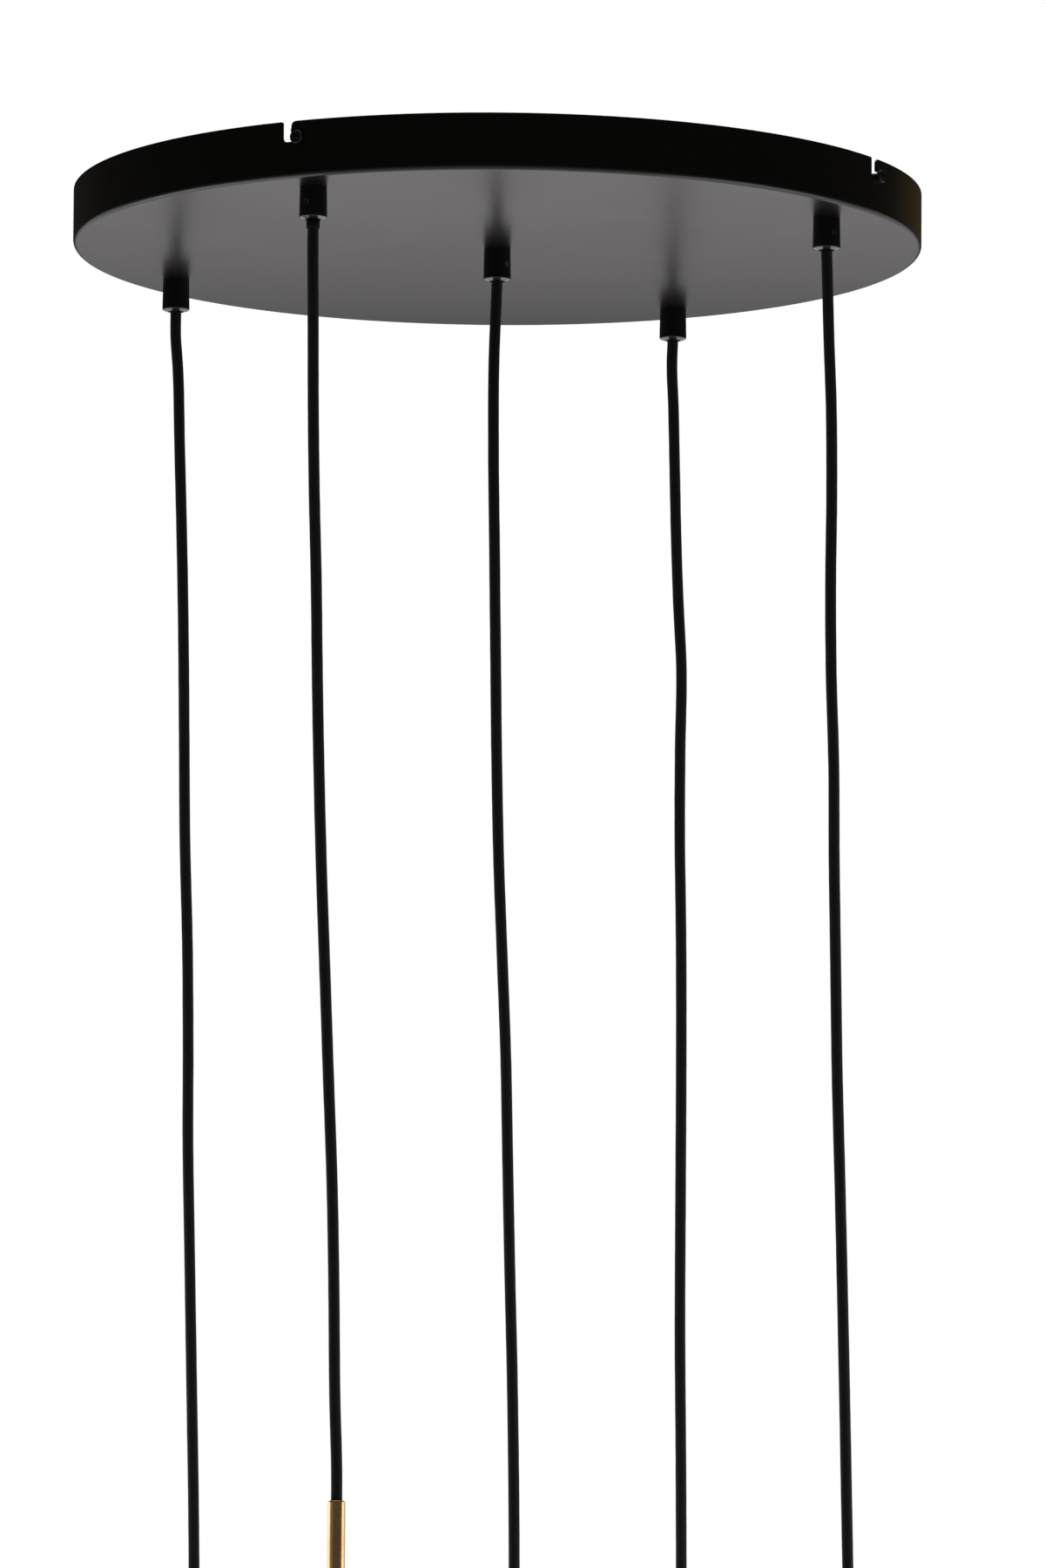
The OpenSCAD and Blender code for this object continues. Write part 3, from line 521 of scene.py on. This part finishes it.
# Clamping screws. A small slotted steel screw, tapped in each grip's side, clamps the cord
# and is all that holds it at its height.
clamp_steel = Finish("clamp_steel", metallic=1.0)
clamp_wear = clamp_steel.cloud(clamp_steel.place(), 0.001, detail=3)
clamp_steel.set("Base Color", clamp_steel.blend(
    clamp_wear, (0.12, 0.12, 0.12), (0.35, 0.35, 0.36),
))
clamp_steel.set("Roughness", 0.22 + clamp_wear * 0.2)
dress(clamp_steel, "grip_screws")


# Leads. The same braided cord runs on from each grip, over the pan's floor and into the
# side of the junction box.
LEAD_LOW_Z = -0.0514
ARCH_Z = -0.0235
LEAD_BEND = 0.01175
LEAD_Z = -0.02855
LEAD_SLOPE = math.radians(30)
LEAD_STEP = 0.0025
BOX_PLACE = Vector((0.075, 0.075, 0))
BOX_RADIUS = 0.033
ENTRY_DEPTH = 0.0016


def arc_points(x, z, radius, start, end, step):
    count = max(2, math.ceil(abs(end - start) * radius / step))
    turns = [start + (end - start) * i / count for i in range(count + 1)]
    return [(x + radius * math.cos(a), z + radius * math.sin(a)) for a in turns]


def even_steps(points, step):
    """The same line with points at most a step apart."""
    line = [points[0]]
    for start, end in zip(points, points[1:]):
        count = max(1, math.ceil((end - start).length / step))
        line += [start.lerp(end, i / count) for i in range(1, count + 1)]
    return line


def lead_line(k):
    """Up through the grip's neck, over an arch, down a slope and along the floor."""
    start = Vector((*grip_place(k).xy, 0))
    heading = (BOX_PLACE - start).normalized()
    arch = arc_points(LEAD_BEND, ARCH_Z, LEAD_BEND, math.pi, math.pi / 2 - LEAD_SLOPE, LEAD_STEP)
    fall = arch[-1][1] - LEAD_Z - LEAD_BEND * (1 - math.cos(LEAD_SLOPE))
    foot = arch[-1][0] + fall / math.tan(LEAD_SLOPE) + LEAD_BEND * math.sin(LEAD_SLOPE)
    landing = arc_points(
        foot, LEAD_Z + LEAD_BEND, LEAD_BEND, 1.5 * math.pi - LEAD_SLOPE, 1.5 * math.pi, LEAD_STEP,
    )
    reach = (BOX_PLACE - start).length - BOX_RADIUS + ENTRY_DEPTH
    flat = [(0, LEAD_LOW_Z), *arch, *landing, (reach, LEAD_Z)]
    return even_steps([start + heading * x + Vector((0, 0, z)) for x, z in flat], LEAD_STEP)


for k in NUMBERS:
    lead = braided_tube(f"braided_lead_{k}", lead_line(k))
    wear(lead, braid, "canopy")
    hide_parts(f"lead_{k}")


# Junction box. A round moulded box with a lid on two screws sits on the pan's floor, where
# the five leads meet the mains cable in a terminal strip.
ivory = Finish(
    "ivory_plastic", subsurface_weight=0.05, subsurface_scale=0.004,
    subsurface_radius=(1, 0.9, 0.7),
)
ivory_place = ivory.place()
ivory_mottle = ivory.cloud(ivory_place, 0.012, detail=4)
ivory.set("Base Color", ivory.blend(ivory_mottle, (0.66, 0.63, 0.53), (0.76, 0.74, 0.66)))
ivory.set("Roughness", 0.36 + ivory_mottle * 0.14)
ivory.relief(ivory.cloud(ivory_place, 0.0005), 0.00003, 0.4)
dress(ivory, "junction_box", "junction_lid", "terminal_strip")


# Earth. A stud welded to the pan's floor holds a ring tag under a nut, on a green wire with
# yellow stripes from the box.
EARTH_HEADING = math.radians(45)
STRIPE_PITCH = 0.009
STRIPE_TWIST = 120
earth_cover = Finish("earth_cover")
earth_place = earth_cover.place()
earth_run = earth_cover.stretch(earth_place, (1, 1, 1), turn=-EARTH_HEADING)
along_wire = earth_cover.part(earth_run, "X")
across_wire = earth_cover.part(earth_run, "Y")
stripe_turn = along_wire / STRIPE_PITCH + across_wire * STRIPE_TWIST
stripes = abs(stripe_turn.fract() - 0.5).step(0.24, 0.27)
earth_cover.set("Base Color", earth_cover.blend(stripes, (0.03, 0.23, 0.03), (0.75, 0.62, 0.03)))
earth_cover.set("Roughness", 0.4 + earth_cover.cloud(earth_place, 0.003) * 0.15)
dress(earth_cover, "earth_wire")
dress(zinc, "earth_stud")


# Stems. Thin brass tubes with a closed, rounded top that the cord comes out of. They are
# drawn, polished along their length and lacquered, and have darkened a little.
brass = Finish("satin_brass", metallic=1.0)
brass_place = brass.place()
drawn_lines = brass.cloud(brass.stretch(brass_place, (1, 1, 0.02)), 0.0005, detail=3)
tarnish = brass.cloud(brass_place, 0.02, detail=5, roughness=0.6)
brass.set("Base Color", brass.blend(
    tarnish.step(0.35, 0.8), (0.7, 0.44, 0.2), (0.62, 0.38, 0.16),
))
brass.set("Roughness", 0.22 + tarnish * 0.08 + drawn_lines * 0.06)
brass.relief(drawn_lines, 0.000006, 0.6)
dress(brass, *each("stem_tube"))
smooth_over(*each("stem_tube"))


# Lampholder cups. Each is spun from brass sheet, brushed round to a satin finish and
# screwed on its stem's end by a short neck.
cup_brass = Finish("cup_brass", metallic=1.0)
cup_place = cup_brass.place()
spun_lines = cup_brass.cloud(cup_brass.stretch(cup_place, (0.02, 0.02, 1)), 0.0004, detail=3)
cup_tarnish = cup_brass.cloud(cup_place, 0.025, detail=5, roughness=0.6)
cup_brass.set("Base Color", cup_brass.blend(
    cup_tarnish.step(0.35, 0.8), (0.67, 0.45, 0.22), (0.56, 0.35, 0.15),
))
cup_brass.set("Roughness", 0.2 + cup_tarnish * 0.1 + spun_lines * 0.08)
cup_brass.relief(spun_lines, 0.000008, 0.6)
dress(cup_brass, *each("holder_cup"))
smooth_over(*each("holder_cup"))


# Lamp sockets. Black moulded sockets with a flange under the cup's edge and a pressed brass
# screw shell and contact inside.
socket_black = Finish("socket_plastic")
socket_place = socket_black.place()
socket_mottle = socket_black.cloud(socket_place, 0.006, detail=4)
socket_black.set("Base Color", socket_black.blend(
    socket_mottle, (0.008, 0.008, 0.009), (0.018, 0.018, 0.018),
))
socket_black.set("Roughness", 0.34 + socket_mottle * 0.16)
socket_black.relief(socket_black.cloud(socket_place, 0.0004), 0.00002, 0.4)
dress(socket_black, *each("lamp_socket"))
dress(cup_brass, *each("screw_shell"))


# Lamps. Each is an opal glass globe, blown on a short neck and cemented in a pressed,
# nickel-plated screw cap that carries it in the socket.
opal = Finish(
    "opal_glass", coat_weight=0.4, coat_roughness=0.04, subsurface_weight=0.25,
    subsurface_scale=0.01, subsurface_radius=(1, 0.95, 0.9),
)
opal_cloud = opal.cloud(opal.place(), 0.06, detail=3)
opal.set("Base Color", opal.blend(opal_cloud, (0.8, 0.79, 0.76), (0.86, 0.855, 0.83)))
opal.set("Roughness", 0.16 + opal_cloud * 0.08)
dress(opal, *each("bulb_glass"))
smooth_over(*each("bulb_glass"))
nickel = Finish("cap_nickel", metallic=1.0)
nickel_wear = nickel.cloud(nickel.place(), 0.004, detail=4)
nickel.set("Base Color", nickel.blend(nickel_wear, (0.55, 0.52, 0.47), (0.72, 0.7, 0.66)))
nickel.set("Roughness", 0.22 + nickel_wear * 0.16)
dress(nickel, *each("bulb_cap"))


# Room. A wide pale floor lies 2.6 m under the ceiling and fades to white far away. From
# below it lets the camera see through.
FLOOR_Z = -2.6
FLOOR_RADIUS = 45
FLOOR_SIDES = 96
FLOOR_NEAR = 1.5
FLOOR_FAR = 4.5
FAR_GLOSS = 0.1
floor_mesh = bmesh.new()
bmesh.ops.create_circle(
    floor_mesh, cap_ends=True, radius=FLOOR_RADIUS, segments=FLOOR_SIDES,
)
bmesh.ops.translate(floor_mesh, verts=floor_mesh.verts, vec=(0, 0, FLOOR_Z))
floor = piece_of("floor", floor_mesh)
floor_paint = Finish("floor_paint", roughness=0.8, specular_ior_level=0.1)
floor_place = floor_paint.place()
floor_paint.set("Base Color", floor_paint.blend(
    floor_paint.cloud(floor_place, 0.8), (0.8, 0.8, 0.8), (0.83, 0.83, 0.83),
))
from_centre = floor_paint.node(
    "ShaderNodeVectorMath", {"operation": "LENGTH"},
    [floor_paint.stretch(floor_place, (1, 1, 0))], out="Value",
)
is_seen = floor_paint.ray("Camera")
is_mirrored = floor_paint.ray("Glossy")
is_through = floor_paint.ray("Transmission")
far_glow = floor_paint.node("ShaderNodeEmission", None, {
    "Color": (1, 1, 1),
    "Strength": is_seen + is_through + is_mirrored * FAR_GLOSS,
})
clear = floor_paint.node("ShaderNodeBsdfTransparent")
back_face = floor_paint.node("ShaderNodeNewGeometry", out="Backfacing")
painted = Wire(floor_paint, floor_paint.shader.outputs[0])
faded = floor_paint.node("ShaderNodeMixShader", None, [
    (is_seen + is_mirrored + is_through) * from_centre.step(FLOOR_NEAR, FLOOR_FAR),
    painted, far_glow,
])
two_sided = floor_paint.node(
    "ShaderNodeMixShader", None, [back_face * is_seen, faded, clear],
)
output = floor_paint.tree.nodes["Material Output"]
floor_paint.feed(output, {"Surface": two_sided})
floor.data.materials.append(floor_paint.material)


# Studio light. Tall soft boxes stand left and right, a large one hangs above, and a white
# backdrop glows behind from under the canopy down to the floor. Two dim cards stand in front,
# a faint amber one hangs high behind on the right, and the room fills in evenly.
FILL = 0.7
ROOM_GLOSS = 0.022
SIDE_REACH = 1.0
SIDE_TOP = -0.5
SIDE_HEIGHT = 1.9
SIDE_GLOW = 2.2
RIGHT_TURN = 87
RIGHT_WIDTH = 0.84
LEFT_TURN = -106
LEFT_WIDTH = 0.7
BACKDROP_REACH = 0.8
BACKDROP_TOP = -0.174
BACKDROP_HEIGHT = 2.2
BACKDROP_WIDTH = 3.2
BACKDROP_GLOW = 0.73
BACKDROP_COLOUR = (1, 0.96, 0.985)
FRONT_REACH = 1.6
FRONT_TOP = -0.3
FRONT_WIDTH = 3.2
FRONT_HEIGHT = 1.8
FRONT_GLOW = 0.06
CORNER_TURN = -66
CORNER_WIDTH = 0.8
CORNER_GLOW = 0.2
WARM_TURN = 150
WARM_REACH = 1.2
WARM_TOP = 0.77
WARM_WIDTH = 0.9
WARM_HEIGHT = 0.8
WARM_GLOW = 0.06
WARM_COLOUR = (1, 0.62, 0.15)
ABOVE_Z = 2.2
ABOVE_WIDTH = 2.4
ABOVE_GLOW = 1.6


def soft_box(name, turn, reach, top, width, height, glow):
    """An area light that faces the lamp from a turn about it, counted from the camera."""
    light = bpy.data.lights.new(name, "AREA")
    light.shape = "RECTANGLE"
    light.size = width
    light.size_y = height
    light.energy = math.pi * width * height * glow
    box = bpy.data.objects.new(name, light)
    box.visible_camera = False
    scene.collection.objects.link(box)
    towards_box = Matrix.Rotation(math.radians(turn), 3, "Z") @ -VIEW_AHEAD
    box.location = towards_box * reach + Vector((0, 0, top - height / 2))
    box.rotation_mode = "QUATERNION"
    box.rotation_quaternion = towards_box.to_track_quat("Z", "Y")
    return box


soft_box(
    "soft_box_right", RIGHT_TURN, SIDE_REACH, SIDE_TOP, RIGHT_WIDTH, SIDE_HEIGHT, SIDE_GLOW,
)
soft_box("soft_box_left", LEFT_TURN, SIDE_REACH, SIDE_TOP, LEFT_WIDTH, SIDE_HEIGHT, SIDE_GLOW)
soft_box(
    "corner_card", CORNER_TURN, SIDE_REACH, SIDE_TOP, CORNER_WIDTH, SIDE_HEIGHT, CORNER_GLOW,
)
soft_box("front_card", 0, FRONT_REACH, FRONT_TOP, FRONT_WIDTH, FRONT_HEIGHT, FRONT_GLOW)
warm_card = soft_box(
    "warm_card", WARM_TURN, WARM_REACH, WARM_TOP, WARM_WIDTH, WARM_HEIGHT, WARM_GLOW,
)
warm_card.data.color = WARM_COLOUR
backdrop = soft_box(
    "white_backdrop", 180, BACKDROP_REACH, BACKDROP_TOP, BACKDROP_WIDTH, BACKDROP_HEIGHT,
    BACKDROP_GLOW,
)
backdrop.data.color = BACKDROP_COLOUR
above = soft_box(
    "soft_box_above", 0, 0, ABOVE_Z + ABOVE_WIDTH / 2, ABOVE_WIDTH, ABOVE_WIDTH, ABOVE_GLOW,
)
above.rotation_quaternion = (1, 0, 0, 0)

world = bpy.data.worlds.new("white_room")
world.use_nodes = True
world.cycles.sampling_method = "NONE"
scene.world = world
room = Nodes(world.node_tree, "Background")
is_seen = room.ray("Camera")
is_mirrored = room.ray("Glossy")
is_through = room.ray("Transmission")
is_plain = 1 - (is_seen + is_mirrored + is_through)
room.set("Color", (1, 1, 1))
room.set("Strength", is_seen + is_through + is_mirrored * ROOM_GLOSS + is_plain * FILL)

scene.view_settings.view_transform = "Standard"
